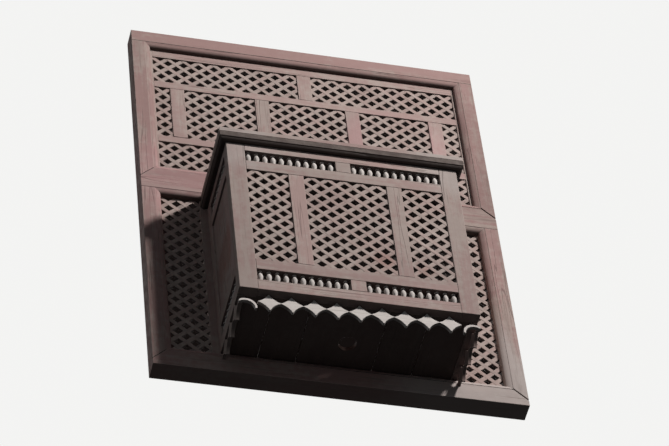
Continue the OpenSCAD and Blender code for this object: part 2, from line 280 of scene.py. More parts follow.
class Timber:
    """Collects closed boards into one piece. Every corner keeps its place along and across the grain."""

    def __init__(self):
        self.verts = []
        self.faces = []
        self.grain = []
        self.wear = []
        self.painted_shade = []

    def add(self, bm, along, grimy_sides=False):
        """Takes over a closed mesh whose grain runs along a direction.

        Faces can be marked as worn arrises, and a vertex layer named worn can mark more of its surface.
        """
        seed = rng.uniform(*SEEDS)
        slide = rng.uniform(*SLIDES)
        bmesh.ops.recalc_face_normals(bm, faces=bm.faces)
        bm.verts.index_update()
        start = len(self.verts)
        worn = bm.verts.layers.float.get("worn")
        self.verts += [v.co.copy() for v in bm.verts]
        for face in bm.faces:
            across = face.normal.cross(along)
            if across.length > END_GRAIN:
                across.normalize()
                lengthways = along
            else:
                across = face.normal.orthogonal().normalized()
                lengthways = face.normal.cross(across)
            self.faces.append([start + v.index for v in face.verts])
            for v in face.verts:
                self.grain += (v.co.dot(lengthways) + slide, v.co.dot(across), seed)
            # Painted shade: darker on undersides and towards the bay's hollow, full on a lath's sides when
            # asked
            painted_shade = painted_shade_on(face.calc_center_median(), face.normal)
            if grimy_sides and abs(face.normal.y) < SIDEWAYS:
                painted_shade = 1.0
            wear = 1.0 if face.material_index == WORN_MARK else 0.0
            self.wear += [max(wear, v[worn]) if worn else wear for v in face.verts]
            self.painted_shade += [painted_shade] * len(face.verts)
        bm.free()

    def finish(self, name, *nodes):
        """Makes the piece, which stands for the named nodes of the model."""
        mesh = bpy.data.meshes.new(name)
        mesh.from_pydata(self.verts, [], self.faces)
        grain = mesh.attributes.new("grain", "FLOAT_VECTOR", "CORNER")
        grain.data.foreach_set("vector", self.grain)
        # Wear and the painted shade go to corner layers
        for layer, values in (("wear", self.wear), ("painted_shade", self.painted_shade)):
            mesh.attributes.new(layer, "FLOAT", "CORNER").data.foreach_set("value", values)
        mesh.materials.append(materials[slot_of[nodes[0]]])
        mesh.update()
        piece = bpy.data.objects.new(name, mesh)
        bpy.context.scene.collection.objects.link(piece)
        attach(piece, "root")
        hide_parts(*nodes)
        return piece


def join_rings(bm, near, far):
    """Faces between two rings with as many corners."""
    for i in range(len(near)):
        j = (i + 1) % len(near)
        bm.faces.new((near[i], near[j], far[j], far[i]))


def prism(rings):
    """Closed mesh between two rings of points."""
    bm = bmesh.new()
    near, far = [[bm.verts.new(point) for point in ring] for ring in rings]
    bm.faces.new(near)
    bm.faces.new(reversed(far))
    join_rings(bm, near, far)
    bmesh.ops.recalc_face_normals(bm, faces=bm.faces)
    return bm


def soften(bm, arris, steps=1):
    """Takes off the sharp arrises of a board."""
    if arris <= 0:
        return
    sharp = [edge for edge in bm.edges if len(edge.link_faces) == 2 and edge.calc_face_angle(0) > ARRIS_FOLD]
    bmesh.ops.bevel(bm, geom=sharp, offset=arris, segments=steps, profile=0.5, affect="EDGES",
                    clamp_overlap=True, material=WORN_MARK)


def slab(outline, axis, t0, t1, arris=ARRIS, steps=1):
    """Closed board with an outline of points (a, b) and its thickness from t0 to t1 along an axis.

    (a, b) is (x, z) for axis y, (x, y) for axis z and (y, z) for axis x.
    """
    place = {"x": lambda a, b, t: (t, a, b),
             "y": lambda a, b, t: (a, t, b),
             "z": lambda a, b, t: (a, b, t)}[axis]
    bm = prism([[place(a, b, t) for a, b in outline] for t in (t0, t1)])
    soften(bm, arris, steps)
    return bm


def box_outline(a0, b0, a1, b1):
    """Rectangle as an outline."""
    return [(a0, b0), (a1, b0), (a1, b1), (a0, b1)]


def board(low, high, arris=ARRIS, gaps=(0, 0, 0)):
    """Box board between two corners, drawn in by a joint gap along each axis."""
    gap = Vector(gaps)
    low, high = low + gap, high - gap
    return slab(box_outline(low.x, low.z, high.x, high.z), "y", low.y, high.y, arris)


def moulding(timbers, corners, depth, profile, closed):
    """Strips of a moulding round a line of corners, mitred where they meet. The timbers take them in turn.

    A profile point is (distance inside the line, distance along depth). The line runs anticlockwise,
    seen by one who looks along depth.
    """
    count = len(corners)
    spans = count if closed else count - 1
    runs = [(corners[(i + 1) % count] - corners[i]).normalized() for i in range(spans)]
    sides = [run.cross(depth).normalized() for run in runs]
    for i, (run, side) in enumerate(zip(runs, sides)):
        rings = []
        for corner, neighbour, back in ((corners[i], i - 1, 1), (corners[(i + 1) % count], i + 1, -1)):
            mitre = side
            if closed or 0 <= neighbour < spans:
                other = sides[neighbour % spans]
                mitre = (side + other) / (1 + side.dot(other))
            gap = run * JOINT_GAP * 0.5 * back
            rings.append([corner + mitre * u + depth * v + gap for u, v in profile])
        timbers[i % len(timbers)].add(prism(rings), run)


# Materials

def srgb(*levels):
    """Linear colour from sRGB levels of 0 to 255."""
    parts = [level / 255 for level in levels]
    return [p / 12.92 if p <= 0.04045 else ((p + 0.055) / 1.055) ** 2.4 for p in parts] + [1.0]


class Nodes:
    """Short ways to add shader nodes to an emptied tree."""

    def __init__(self, tree):
        self.tree = tree
        tree.nodes.clear()

    def add(self, kind, inputs=None, **settings):
        """New node. Each input, by its name or its place, is linked to a socket or takes a value."""
        node = self.tree.nodes.new(kind)
        for name, setting in settings.items():
            setattr(node, name, setting)
        for key, value in (inputs or {}).items():
            if isinstance(value, bpy.types.NodeSocket):
                self.tree.links.new(value, node.inputs[key])
            else:
                node.inputs[key].default_value = value
        return node

    def math(self, operation, *values):
        """Result of one step of arithmetic."""
        return self.add("ShaderNodeMath", dict(enumerate(values)), operation=operation).outputs[0]

    def total(self, *terms, start=0.0):
        """Sum of a start and of values, each times its weight."""
        for value, weight in terms:
            start = self.math("ADD", start, self.math("MULTIPLY", value, weight))
        return start

    def scaled(self, vector, factors):
        """Vector with each part times its own factor."""
        return self.add("ShaderNodeVectorMath", {0: vector, 1: factors}, operation="MULTIPLY").outputs[0]

    def noise(self, vector, scale=1.0, detail=3.0, roughness=0.55):
        """Noise level around a half."""
        inputs = {"Vector": vector, "Scale": scale, "Detail": detail, "Roughness": roughness}
        return self.add("ShaderNodeTexNoise", inputs).outputs[0]

    def ramp(self, value, low, high, to_low=0.0, to_high=1.0):
        """Smooth step of a value, from one level to another."""
        inputs = {"Value": value, "From Min": low, "From Max": high, "To Min": to_low, "To Max": to_high}
        return self.add("ShaderNodeMapRange", inputs, interpolation_type="SMOOTHSTEP").outputs[0]

    def mix(self, factor, a, b):
        """Colour a, or b where the factor is 1."""
        return self.add("ShaderNodeMix", {0: factor, 6: a, 7: b}, data_type="RGBA").outputs[2]

    def choose(self, factor, a, b):
        """Shader a, or b where the factor is 1."""
        return self.add("ShaderNodeMixShader", {0: factor, 1: a, 2: b}).outputs[0]


def new_material(name):
    """Material without nodes, and the means to add them."""
    material = bpy.data.materials.new(name)
    material.use_nodes = True
    return material, Nodes(material.node_tree)


# Patterns along the grain: cycles per metre along and across it, and how far a board's seed moves them
FIBRE = (7, 150, 3.7)
STREAK = (2.6, 44, 5.3)
STAIN = (1.6, 12, 2.9)
CHECK = (1.3, 38, 8.1)
# Patterns over the whole window, in cycles per metre
PATCH = 3.1
FLECK = 34.0
# Levels between which paint, a spot, a streak or a check sets in, and the stain that checks come with
PAINT_EDGE = (0.30, 0.70)
SPOT_EDGE = (1.0, 0.45)
STREAK_EDGE = (0.46, 0.30)
CHECK_EDGE = (0.016, 0.004)
CHECK_STAIN = (0.50, 0.62)
# Colours and strengths of checks and of painted shade
CHECK_COLOUR = srgb(48, 38, 34)
CHECK_SHOWS = 0.35
PAINTED_SHADE_COLOUR = srgb(51, 43, 41)
PAINTED_SHADE_SHOWS = 0.85
# How much paint wear takes off an arris
PAINT_WORN = 0.45
# Brightness and roughness, each with the levels of its pattern that give its lowest and highest value
SHADES = (0.86, 1.10)
SHADE_LEVELS = (0.25, 0.75)
ROUGHNESS = (0.62, 0.88)
ROUGHNESS_LEVELS = (0.2, 0.8)
# Gloss, and the strength and height of the relief
SPECULAR = 0.12
RELIEF = 0.7
RELIEF_H = 1.2 * MM
# Painted shade: the dark of the unlit room behind the holes
ROOM_SHADE_COLOUR = srgb(19, 15, 14)


def paint_left(nodes, cover, levels, wear):
    """Share of paint that is left, swayed by some levels around a half, and less on worn arrises."""
    swings = [(nodes.math("SUBTRACT", level, 0.5), amount) for level, amount in levels]
    return nodes.ramp(nodes.total(*swings, (wear, -PAINT_WORN), start=cover), *PAINT_EDGE)


def spotted(nodes, colour, spots, place, stain):
    """Colour with places that have faded or kept their colour."""
    for centre, reach, tint, strength in spots:
        away = nodes.add("ShaderNodeVectorMath", {0: place, 1: centre}, operation="DISTANCE")
        edge = nodes.total((away.outputs["Value"], 1 / reach), start=nodes.math("SUBTRACT", stain, 0.5))
        here = nodes.math("MULTIPLY", nodes.ramp(edge, *SPOT_EDGE), strength)
        colour = nodes.mix(here, colour, tint)
    return colour


def fine_checks(nodes, grain, stain, strength):
    """Fine checks along the grain, where the stain is strong."""
    ridge = nodes.math("SUBTRACT", nodes.noise(nodes.scaled(grain, CHECK), detail=1.0), 0.5)
    ridge = nodes.math("ABSOLUTE", ridge)
    check = nodes.math("MULTIPLY", nodes.ramp(ridge, *CHECK_EDGE), nodes.ramp(stain, *CHECK_STAIN))
    return nodes.math("MULTIPLY", check, strength)


def wood(name, paint, bare, dark, cover=0.55, streaks=0.55, checks=1.0, spots=()):
    """Weathered wood under worn paint, with streaks and checks along the grain and bare arrises.

    Cover is how much paint is left, and streaks and checks are how strong those are. A spot is
    (centre, reach in metres, colour, strength).
    """
    material, nodes = new_material(name)
    grain = nodes.add("ShaderNodeAttribute", attribute_name="grain").outputs["Vector"]
    wear = nodes.add("ShaderNodeAttribute", attribute_name="wear").outputs["Fac"]
    # The painted shade that each face carries
    painted_shade = nodes.add("ShaderNodeAttribute", attribute_name="painted_shade").outputs["Fac"]
    place = nodes.add("ShaderNodeTexCoord").outputs["Object"]
    seed = nodes.add("ShaderNodeSeparateXYZ", {0: grain}).outputs["Z"]
    tone = nodes.add("ShaderNodeTexWhiteNoise", {"W": seed}, noise_dimensions="1D").outputs["Value"]
    fibre = nodes.noise(nodes.scaled(grain, FIBRE), detail=4.0, roughness=0.6)
    streak = nodes.noise(nodes.scaled(grain, STREAK))
    stain = nodes.noise(nodes.scaled(grain, STAIN), detail=2.0)
    patch = nodes.noise(place, PATCH, detail=2.0)
    fleck = nodes.noise(place, FLECK, roughness=0.65)

    # Paint over bare wood, then spots, darker streaks, checks and painted shade, and each board's own
    # brightness
    painted = paint_left(nodes, cover, ((patch, 1.2), (streak, 1.1), (fleck, 0.8), (tone, 0.30)), wear)
    colour = spotted(nodes, nodes.mix(painted, bare, paint), spots, place, stain)
    lines = nodes.ramp(nodes.total((streak, 0.6), (fibre, 0.4)), *STREAK_EDGE)
    colour = nodes.mix(nodes.math("MULTIPLY", lines, streaks), colour, dark)
    check = fine_checks(nodes, grain, stain, checks)
    colour = nodes.mix(nodes.math("MULTIPLY", check, CHECK_SHOWS), colour, CHECK_COLOUR)
    # Painted shade darkens undersides, faces towards the bay's hollow and the sides of laths
    colour = nodes.mix(nodes.math("MULTIPLY", painted_shade, PAINTED_SHADE_SHOWS), colour, PAINTED_SHADE_COLOUR)
    level = nodes.ramp(nodes.total((stain, 0.6), (tone, 0.4)), *SHADE_LEVELS, *SHADES)
    shade = nodes.add("ShaderNodeHueSaturation", {"Value": level, "Color": colour})

    height = nodes.total((fibre, 0.35), (streak, 0.35), (painted, 0.25), (check, -1.2))
    bump = nodes.add("ShaderNodeBump", {"Strength": RELIEF, "Distance": RELIEF_H, "Height": height})
    shader = nodes.add("ShaderNodeBsdfPrincipled", {
        "Base Color": shade.outputs["Color"],
        "Roughness": nodes.ramp(fleck, *ROUGHNESS_LEVELS, *ROUGHNESS),
        "Normal": bump.outputs["Normal"],
        "Specular IOR Level": SPECULAR,
    })
    nodes.add("ShaderNodeOutputMaterial", {"Surface": shader.outputs["BSDF"]})
    return material


FADED = srgb(176, 165, 159)
PINK = srgb(178, 137, 136)
RUST = srgb(142, 92, 82)
DEEP = srgb(128, 100, 95)
# Where the paint differs: place, reach in metres, colour, strength
FRAME_SPOTS = [
    (at("frame_sill_rail", 0.90, 0.5), 0.50, FADED, 0.8),
    (at("frame_mid_rail", 0.08, 0.6), 0.34, PINK, 0.35),
    (at("upper_stile_right", 0.5, 0.4), 0.50, DEEP, 0.35),
]
SCREEN_SPOTS = [
    (at("screen_muntins", 0.80, 0.4), 0.34, PINK, 0.6),
    (at("bay_post_left", 0.5, 1.0), 0.20, FADED, 0.5),
    (at("bay_post_right", 0.5, 1.0), 0.20, FADED, 0.5),
    (at("side_panel_left", 0.5, 0.4, 0.45), 0.15, RUST, 0.45),
]
LATTICE_SPOTS = [
    (at("bay_lattice_centre", 0.86, 0.16), 0.06, RUST, 0.35),
    (at("bay_lattice_right", 0.30, 0.10), 0.05, RUST, 0.3),
]
FINISHES = {
    "frame_wood": dict(paint=srgb(150, 121, 116), bare=srgb(158, 139, 131), dark=srgb(106, 84, 79),
                       spots=FRAME_SPOTS),
    "screen_wood": dict(paint=srgb(158, 133, 127), bare=srgb(164, 147, 139), dark=srgb(118, 97, 90),
                        cover=0.50, streaks=0.40, spots=SCREEN_SPOTS),
    "lattice_wood": dict(paint=srgb(160, 138, 131), bare=srgb(170, 153, 145), dark=srgb(124, 103, 96),
                         cover=0.45, streaks=0.40, spots=LATTICE_SPOTS),
    "pale_wood": dict(paint=srgb(200, 190, 184), bare=srgb(206, 197, 190), dark=srgb(160, 147, 139),
                      cover=0.50, streaks=0.35, checks=0.4),
    "roof_wood": dict(paint=srgb(83, 72, 68), bare=srgb(101, 90, 84), dark=srgb(54, 46, 43),
                      cover=0.45, streaks=0.60),
    # Floor boards show only from below: their dark brown is partly painted shade of the bay's underside
    "floor_wood": dict(paint=srgb(88, 68, 62), bare=srgb(100, 82, 74), dark=srgb(48, 37, 34),
                       cover=0.50, streaks=0.60),
}
materials = {name: wood(name, **finish) for name, finish in FINISHES.items()}


# Outer frame

def slope_profile():
    """Points of the slope round an opening, as distance in from the flat's edge and depth.

    They lie on an arc that ends square to the face, and the strip goes on to the frame's back.
    """
    points = []
    for k in range(SLOPE_STEPS + 1):
        angle = SLOPE_FROM + (math.pi / 2 - SLOPE_FROM) * k / SLOPE_STEPS
        inward = (math.sin(angle) - math.sin(SLOPE_FROM)) / (1 - math.sin(SLOPE_FROM))
        deep = 1 - math.cos(angle) / math.cos(SLOPE_FROM)
        points.append((SLOPE_W * inward, SLOPE_START + (SLOPE_END - SLOPE_START) * deep))
    depth = FRAME_BACK - FRAME_FRONT
    return points + [(SLOPE_W, depth), (0, depth)]


def flat(outline):
    """Flat board of a frame member."""
    return slab(outline, "y", FRAME_FRONT, FRAME_BACK, ARRIS, FLAT_ARRIS_STEPS)


def rail_outline(z_foot, z_top):
    """Outline of a rail's flat, mitred to the stiles that stand on it."""
    left, right = MITRE_GAPS["left"], MITRE_GAPS["right"]
    return [(-FRAME_X, z_foot), (FRAME_X, z_foot),
            (FRAME_X, z_top - FLAT_W - right), (FLAT_X, z_top - right),
            (-FLAT_X, z_top - left), (-FRAME_X, z_top - FLAT_W - left)]


def stile(timber, side, z_low, z_high):
    """Flat of a stile, mitred at its foot, and the tongue that shows deep in the open mitre."""
    sign = -1 if side == "left" else 1
    x_out, x_in = sign * FRAME_X, sign * FLAT_X
    gap = MITRE_GAPS[side]
    timber.add(flat([(x_out, z_low - FLAT_W + gap), (x_in, z_low + gap),
                     (x_in, z_high - JOINT_GAP), (x_out, z_high - JOINT_GAP)]), Z_AXIS)
    tongue = [(x_out, z_low - FLAT_W - 2 * gap), (x_in, z_low - 2 * gap),
              (x_in, z_low + 2 * gap), (x_out, z_low - FLAT_W + 2 * gap)]
    timber.add(slab(tongue, "y", FRAME_FRONT + MITRE_OPEN_DEPTH, FRAME_BACK - ARRIS, 0), Z_AXIS)


def worn_below(bm, level):
    """Marks a board's surface as worn below a level, and fades that out over a little height."""
    for z in (level, level - WORN_FADE):
        bmesh.ops.bisect_plane(bm, geom=bm.verts[:] + bm.edges[:] + bm.faces[:], plane_co=(0, 0, z),
                               plane_no=(0, 0, 1))
    worn = bm.verts.layers.float.new("worn")
    for v in bm.verts:
        v[worn] = min(max((level - v.co.z) / WORN_FADE, 0), 1)
    return bm


def frame_members():
    """Head, rails and stiles, each a flat board with the slopes of the openings beside it."""
    parts = {name: Timber() for name in (
        "frame_head", "frame_mid_rail", "frame_sill_rail",
        "upper_stile_left", "upper_stile_right", "lower_stile_left", "lower_stile_right")}
    head_low, head_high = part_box("frame_head")
    mid_low, mid_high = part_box("frame_mid_rail")
    sill_low, sill_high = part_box("frame_sill_rail")
    z_head = head_low.z + SLOPE_W
    z_mid, z_mid_top = mid_low.z + SLOPE_W, mid_high.z - SLOPE_W
    z_sill = sill_high.z - SLOPE_W
    openings = (("upper", z_mid_top, z_head, "frame_head", "frame_mid_rail"),
                ("lower", z_sill, z_mid, "frame_mid_rail", "frame_sill_rail"))

    parts["frame_head"].add(flat(box_outline(-FRAME_X, z_head + JOINT_GAP, FRAME_X, head_high.z)), X_AXIS)
    parts["frame_sill_rail"].add(flat(rail_outline(sill_low.z, z_sill)), X_AXIS)
    middle_rail = flat(rail_outline(z_mid + JOINT_GAP, z_mid_top))
    parts["frame_mid_rail"].add(worn_below(middle_rail, z_mid + WORN_H), X_AXIS)
    for level, z_low, z_high, _, _ in openings:
        for side in ("left", "right"):
            stile(parts[f"{level}_stile_{side}"], side, z_low, z_high)

    # Each opening's slope runs along its top, left, bottom and right
    for level, z_low, z_high, top, bottom in openings:
        corners = [Vector((x, FRAME_FRONT, z)) for x, z in (
            (FLAT_X, z_high), (-FLAT_X, z_high), (-FLAT_X, z_low), (FLAT_X, z_low))]
        timbers = [parts[name] for name in (top, f"{level}_stile_left", bottom, f"{level}_stile_right")]
        moulding(timbers, corners, Y_AXIS, slope_profile(), closed=True)
    for name, timber in parts.items():
        timber.finish(name + "_wood", name)


# Screens

def plain_node(node, along, arris=FINE_ARRIS, gaps=(0, 0, 0)):
    """One board for each solid of a node."""
    timber = Timber()
    for low, high in solids(node):
        timber.add(board(low, high, arris, gaps), along)
    timber.finish(node + "_wood", node)


def muntins():
    """Upright muntins of the upper screen. The leftmost one of the middle row has opened at its foot."""
    timber = Timber()
    (low, high), *others = solids("screen_muntins")
    foot = []
    for k in range(OPEN_FOOT_STEPS + 1):
        z = low.z + OPEN_FOOT - OPEN_FOOT_BOW * math.sin(math.pi * k / OPEN_FOOT_STEPS)
        foot.append((low.x + (high.x - low.x) * k / OPEN_FOOT_STEPS, z))
    outline = foot + [(high.x, high.z - JOINT_GAP), (low.x, high.z - JOINT_GAP)]
    timber.add(slab(outline, "y", low.y, high.y, FINE_ARRIS), Z_AXIS)
    for low, high in others:
        timber.add(board(low, high, FINE_ARRIS, (0, 0, JOINT_GAP)), Z_AXIS)
    timber.finish("screen_muntins_wood", "screen_muntins")


def lath(centre, run, across, width, y_front, y_back):
    """Long bar with worn front and back arrises, centred on a point and running both ways."""
    section = box_outline(-0.5 * width, y_front, 0.5 * width, y_back)
    bm = prism([[centre + run * t + across * a + Vector((0, y, 0)) for a, y in section]
                for t in (-LATH_REACH, LATH_REACH)])
    long_edges = [e for e in bm.edges
                  if abs((e.verts[0].co - e.verts[1].co).normalized().dot(run)) > LATH_LONG]
    bmesh.ops.bevel(bm, geom=long_edges, offset=LATH_ARRIS, segments=1, profile=0.5, affect="EDGES",
                    material=WORN_MARK)
    return bm


def cut_to(bm, planes):
    """Cuts a closed mesh off at planes, each a point and an outward normal, and closes it again."""
    for point, normal in planes:
        cut = bmesh.ops.bisect_plane(bm, geom=bm.verts[:] + bm.edges[:] + bm.faces[:], plane_co=point,
                                     plane_no=normal, clear_outer=True)
        edges = [e for e in cut["geom_cut"] if isinstance(e, bmesh.types.BMEdge)]
        if edges:
            bmesh.ops.holes_fill(bm, edges=edges, sides=0)


def lattice(timber, low, high, from_right, hole_in_corner):
    """Crossed laths that fill an opening, halved into each other, with their ends housed in the rails.

    They are set out from an upper corner, which a hole is centred on or else two laths cross in.
    """
    slope = math.atan2(HOLE_PITCH_Z, HOLE_PITCH_X)
    anchor = high.x if from_right else low.x
    step = -HOLE_PITCH_X if from_right else HOLE_PITCH_X
    shift = 0.5 if hole_in_corner else 0.0
    count = math.ceil((high.x - low.x) / HOLE_PITCH_X + (high.z - low.z) / HOLE_PITCH_Z) + 1
    planes = [((low.x - LATH_HOUSED, 0, 0), (-1, 0, 0)), ((high.x + LATH_HOUSED, 0, 0), (1, 0, 0)),
              ((0, 0, low.z - LATH_HOUSED), (0, 0, -1)), ((0, 0, high.z + LATH_HOUSED), (0, 0, 1))]
    corners = [Vector((x, 0, z)) for x in (low.x, high.x) for z in (low.z, high.z)]
    for side in (-1, 1):
        for k in range(-count, count + 1):
            tilt = side * slope + rng.gauss(0, LATH_TILT)
            run = Vector((math.cos(tilt), 0, math.sin(tilt)))
            across = Vector((-run.z, 0, run.x))
            start = Vector((anchor + (k + shift) * step + rng.gauss(0, LATH_SHIFT), 0, high.z))
            width = LATH_W * rng.uniform(*LATH_WIDTHS)
            offsets = [(c - start).dot(across) for c in corners]
            if min(offsets) > 0.5 * width or max(offsets) < -0.5 * width:
                continue
            sink = (LATH_STEP if side > 0 else 0) + rng.uniform(0, LATH_SINK)
            centre = start + run * (sum(corners, Vector()) / 4 - start).dot(run)
            bm = lath(centre, run, across, width, low.y + sink, high.y - LATH_STEP + sink)
            cut_to(bm, planes)
            if bm.faces:
                # A lath's sides get full painted shade
                timber.add(bm, run, grimy_sides=True)
            else:
                bm.free()


def lattice_node(node):
    """Every lattice of a node. Those on the right half are turned about, as their solids are."""
    timber = Timber()
    boxes = solids(node)
    for i, (low, high) in enumerate(boxes):
        narrow = node == "lattice_middle_row" and i in (0, len(boxes) - 1)
        hole_in_corner = not (narrow or "band" in node or "strip" in node)
        from_right = (low.x + high.x) / 2 > MM and not node.startswith("bay")
        lattice(timber, low, high, from_right, hole_in_corner)
    timber.finish(node + "_wood", node)


def screens():
    """Upper screen, and the strips beside the bay."""
    for node in ("screen_top_rail", "screen_upper_rail", "screen_lower_rail", "screen_bottom_rail",
                 "ledger_rail"):
        plain_node(node, X_AXIS)
    plain_node("screen_stiles", Z_AXIS)
    muntins()
    for node in ("inner_stile_left", "inner_stile_right"):
        plain_node(node, Z_AXIS)
    for node in ("lattice_top_band", "lattice_middle_row", "lattice_bottom_band",
                 "strip_lattice_left", "strip_lattice_right"):
        lattice_node(node)


# Bay

def spindle(timber, low, high):
    """Turned spindle in the place of its solid, a little thinner or thicker than the next."""
    centre = Vector(((low.x + high.x) / 2, (low.y + high.y) / 2, 0))
    radius = (high.x - low.x) / 2 * rng.uniform(*SPINDLE_RADII)
    tall = high.z - low.z
    turn = rng.uniform(0, math.tau)
    bm = bmesh.new()
    rings = []
    for share_r, share_z in SPINDLE_PROFILE:
        ring = []
        for k in range(SPINDLE_SIDES):
            angle = turn + math.tau * k / SPINDLE_SIDES
            out = Vector((math.cos(angle), math.sin(angle), 0)) * radius * share_r
            ring.append(bm.verts.new(centre + out + Vector((0, 0, low.z + tall * share_z))))
        rings.append(ring)
    bm.faces.new(reversed(rings[0]))
    bm.faces.new(rings[-1])
    for near, far in zip(rings, rings[1:]):
        join_rings(bm, near, far)
    timber.add(bm, Z_AXIS)


def spindle_node(node):
    """Row of turned spindles on three sides of the bay."""
    timber = Timber()
    for low, high in solids(node):
        spindle(timber, low, high)
    piece = timber.finish(node + "_wood", node)
    piece.data.shade_smooth()
    piece.data.set_sharp_from_angle(angle=SPINDLE_CREASE)


def side_boards(node):
    """Upright boards with open joints in a side of the bay."""
    low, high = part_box(node)
    timber = Timber()
    width = (high.y - low.y) / SIDE_BOARDS
    for k in range(SIDE_BOARDS):
        board_low = Vector((low.x, low.y + k * width, low.z))
        board_high = Vector((high.x, low.y + (k + 1) * width, high.z))
        timber.add(board(board_low, board_high, ARRIS, (0, JOINT_GAP, 0)), Z_AXIS)
    timber.finish(node + "_wood", node)


def floor_hole():
    """Centre and radius of the floor's round hole, from the solid's vertices that aren't on its edges."""
    low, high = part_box("floor_boards")
    rim = [v.co for v in frame["nodes"]["floor_boards"].data.vertices
           if low.x + MM < v.co.x < high.x - MM and low.y + MM < v.co.y < high.y - MM]
    x0, x1 = min(c.x for c in rim), max(c.x for c in rim)
    y0, y1 = min(c.y for c in rim), max(c.y for c in rim)
    return Vector(((x0 + x1) / 2, (y0 + y1) / 2, 0)), (x1 - x0) / 2


def ring_plate(low, high, centre, radius, arris):
    """Floor board with a round hole through it."""
    bm = bmesh.new()
    turns = [math.tau * k / HOLE_STEPS for k in range(HOLE_STEPS)]
    circle = [(centre.x + radius * math.cos(turn), centre.y + radius * math.sin(turn)) for turn in turns]
    loops = []
    for z in (low.z, high.z):
        outer = [bm.verts.new((x, y, z)) for x, y in box_outline(low.x, low.y, high.x, high.y)]
        inner = [bm.verts.new((x, y, z)) for x, y in circle]
        rims = []
        for ring in (outer, inner):
            rims += [bm.edges.new((ring[i], ring[(i + 1) % len(ring)])) for i in range(len(ring))]
        bmesh.ops.triangle_fill(bm, use_beauty=True, use_dissolve=False, edges=rims)
        loops.append((outer, inner))
    for below, above in zip(loops[0], loops[1]):
        join_rings(bm, below, above)
    bmesh.ops.recalc_face_normals(bm, faces=bm.faces)
    soften(bm, arris)
    return bm


def floor_boards():
    """Floor boards from the front to the wall. The round hole goes through the one in the middle."""
    low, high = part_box("floor_boards")
    hole_centre, hole_radius = floor_hole()
    timber = Timber()
    edges = [low.x] + FLOOR_JOINTS + [high.x]
    for x0, x1 in zip(edges, edges[1:]):
        board_low = Vector((x0 + FLOOR_JOINT_GAP, low.y, low.z + rng.uniform(0, FLOOR_UNEVEN)))
        board_high = Vector((x1 - FLOOR_JOINT_GAP, high.y, high.z))
        if x0 < hole_centre.x < x1:
            timber.add(ring_plate(board_low, board_high, hole_centre, hole_radius, FINE_ARRIS), Y_AXIS)
        else:
            timber.add(board(board_low, board_high, ARRIS), Y_AXIS)
    timber.finish("floor_boards_wood", "floor_boards")


def edge_moulding(timber, low, high, width, profile):
    """Moulding on the three free sides of a box at the wall. Its profile stands out from a line inside."""
    x0, x1 = low.x + width, high.x - width
    y0, y1 = low.y + width, high.y
    corners = [Vector((x, y, low.z)) for x, y in ((x1, y1), (x1, y0), (x0, y0), (x0, y1))]
    moulding([timber], corners, Z_AXIS, [(-u, v) for u, v in profile], closed=False)


def roof():
    """Planks that run along the wall, inside a moulded edge on three sides."""
    low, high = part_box("roof_board")
    timber = Timber()
    inner_low = Vector((low.x + ROOF_EDGE, low.y + ROOF_EDGE, low.z + PLANK_RAISED))
    inner_high = Vector((high.x - ROOF_EDGE, high.y, high.z - PLANK_SUNK))
    deep = inner_high.y - inner_low.y
    for share, next_share in zip(PLANK_JOINTS, PLANK_JOINTS[1:]):
        plank_low = Vector((inner_low.x, inner_low.y + deep * share, inner_low.z))
        plank_high = Vector((inner_high.x, inner_low.y + deep * next_share, inner_high.z))
        timber.add(board(plank_low, plank_high, ARRIS, (0, JOINT_GAP, 0)), X_AXIS)
    edge_moulding(timber, low, high, ROOF_EDGE, ROOF_PROFILE)
    timber.finish("roof_board_wood", "roof_board")


def roof_strip():
    """Strip that stands on the roof's edge."""
    low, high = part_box("roof_moulding")
    timber = Timber()
    edge_moulding(timber, low, high, STRIP_W, STRIP_PROFILE)
    timber.finish("roof_moulding_wood", "roof_moulding")


def notch_height(offset, half, rise):
    """Height of a pointed notch beside its middle. Each side of it is an arc from the foot to the tip."""
    chord = math.hypot(half, rise)
    away = math.sqrt(NOTCH_ARC_R ** 2 - (chord / 2) ** 2) / chord
    centre_x, centre_z = half / 2 - away * rise, rise / 2 - away * half
    return centre_z + math.sqrt(NOTCH_ARC_R ** 2 - (abs(offset) - centre_x) ** 2)


def star_outline(length, tall):
    """Board with pointed notches in both edges, which leave a row of stars."""
    half, rise = (STAR_PITCH - STAR_TIP) / 2, (tall - STAR_WAIST) / 2
    count = math.ceil(length / 2 / STAR_PITCH)
    lower = []
    for i in range(-count, count):
        notch = length / 2 + (i + 0.5) * STAR_PITCH
        if notch - half >= length or notch + half <= 0:
            continue
        places = [notch + half * k / NOTCH_STEPS for k in range(-NOTCH_STEPS, NOTCH_STEPS + 1)]
        for a in sorted({min(max(place, 0), length) for place in places}):
            lower.append((a, notch_height(a - notch, half, rise)))
    return lower + [(a, tall - b) for a, b in reversed(lower)]


def end_arch(length):
    """Crescent at the right end of the front valance, open below and held by the side valance."""
    x, z = length - ARCH_INSET, ARCH_Z
    inner_x, inner_z = x + ARCH_CUT_SIDE, z - ARCH_CUT_DROP
    outer, inner = [], []
    for k in range(ARCH_STEPS + 1):
        share = k / ARCH_STEPS
        for ring, radius, cx, cz in ((outer, ARCH_R, x, z), (inner, ARCH_CUT_R, inner_x, inner_z)):
            first = math.pi - math.asin(-cz / radius)
            last = math.acos((length - cx) / radius) if length - cx < radius else 0
            angle = first + (last - first) * share
            ring.append((cx + radius * math.cos(angle), cz + radius * math.sin(angle)))
    return outer + inner[::-1]


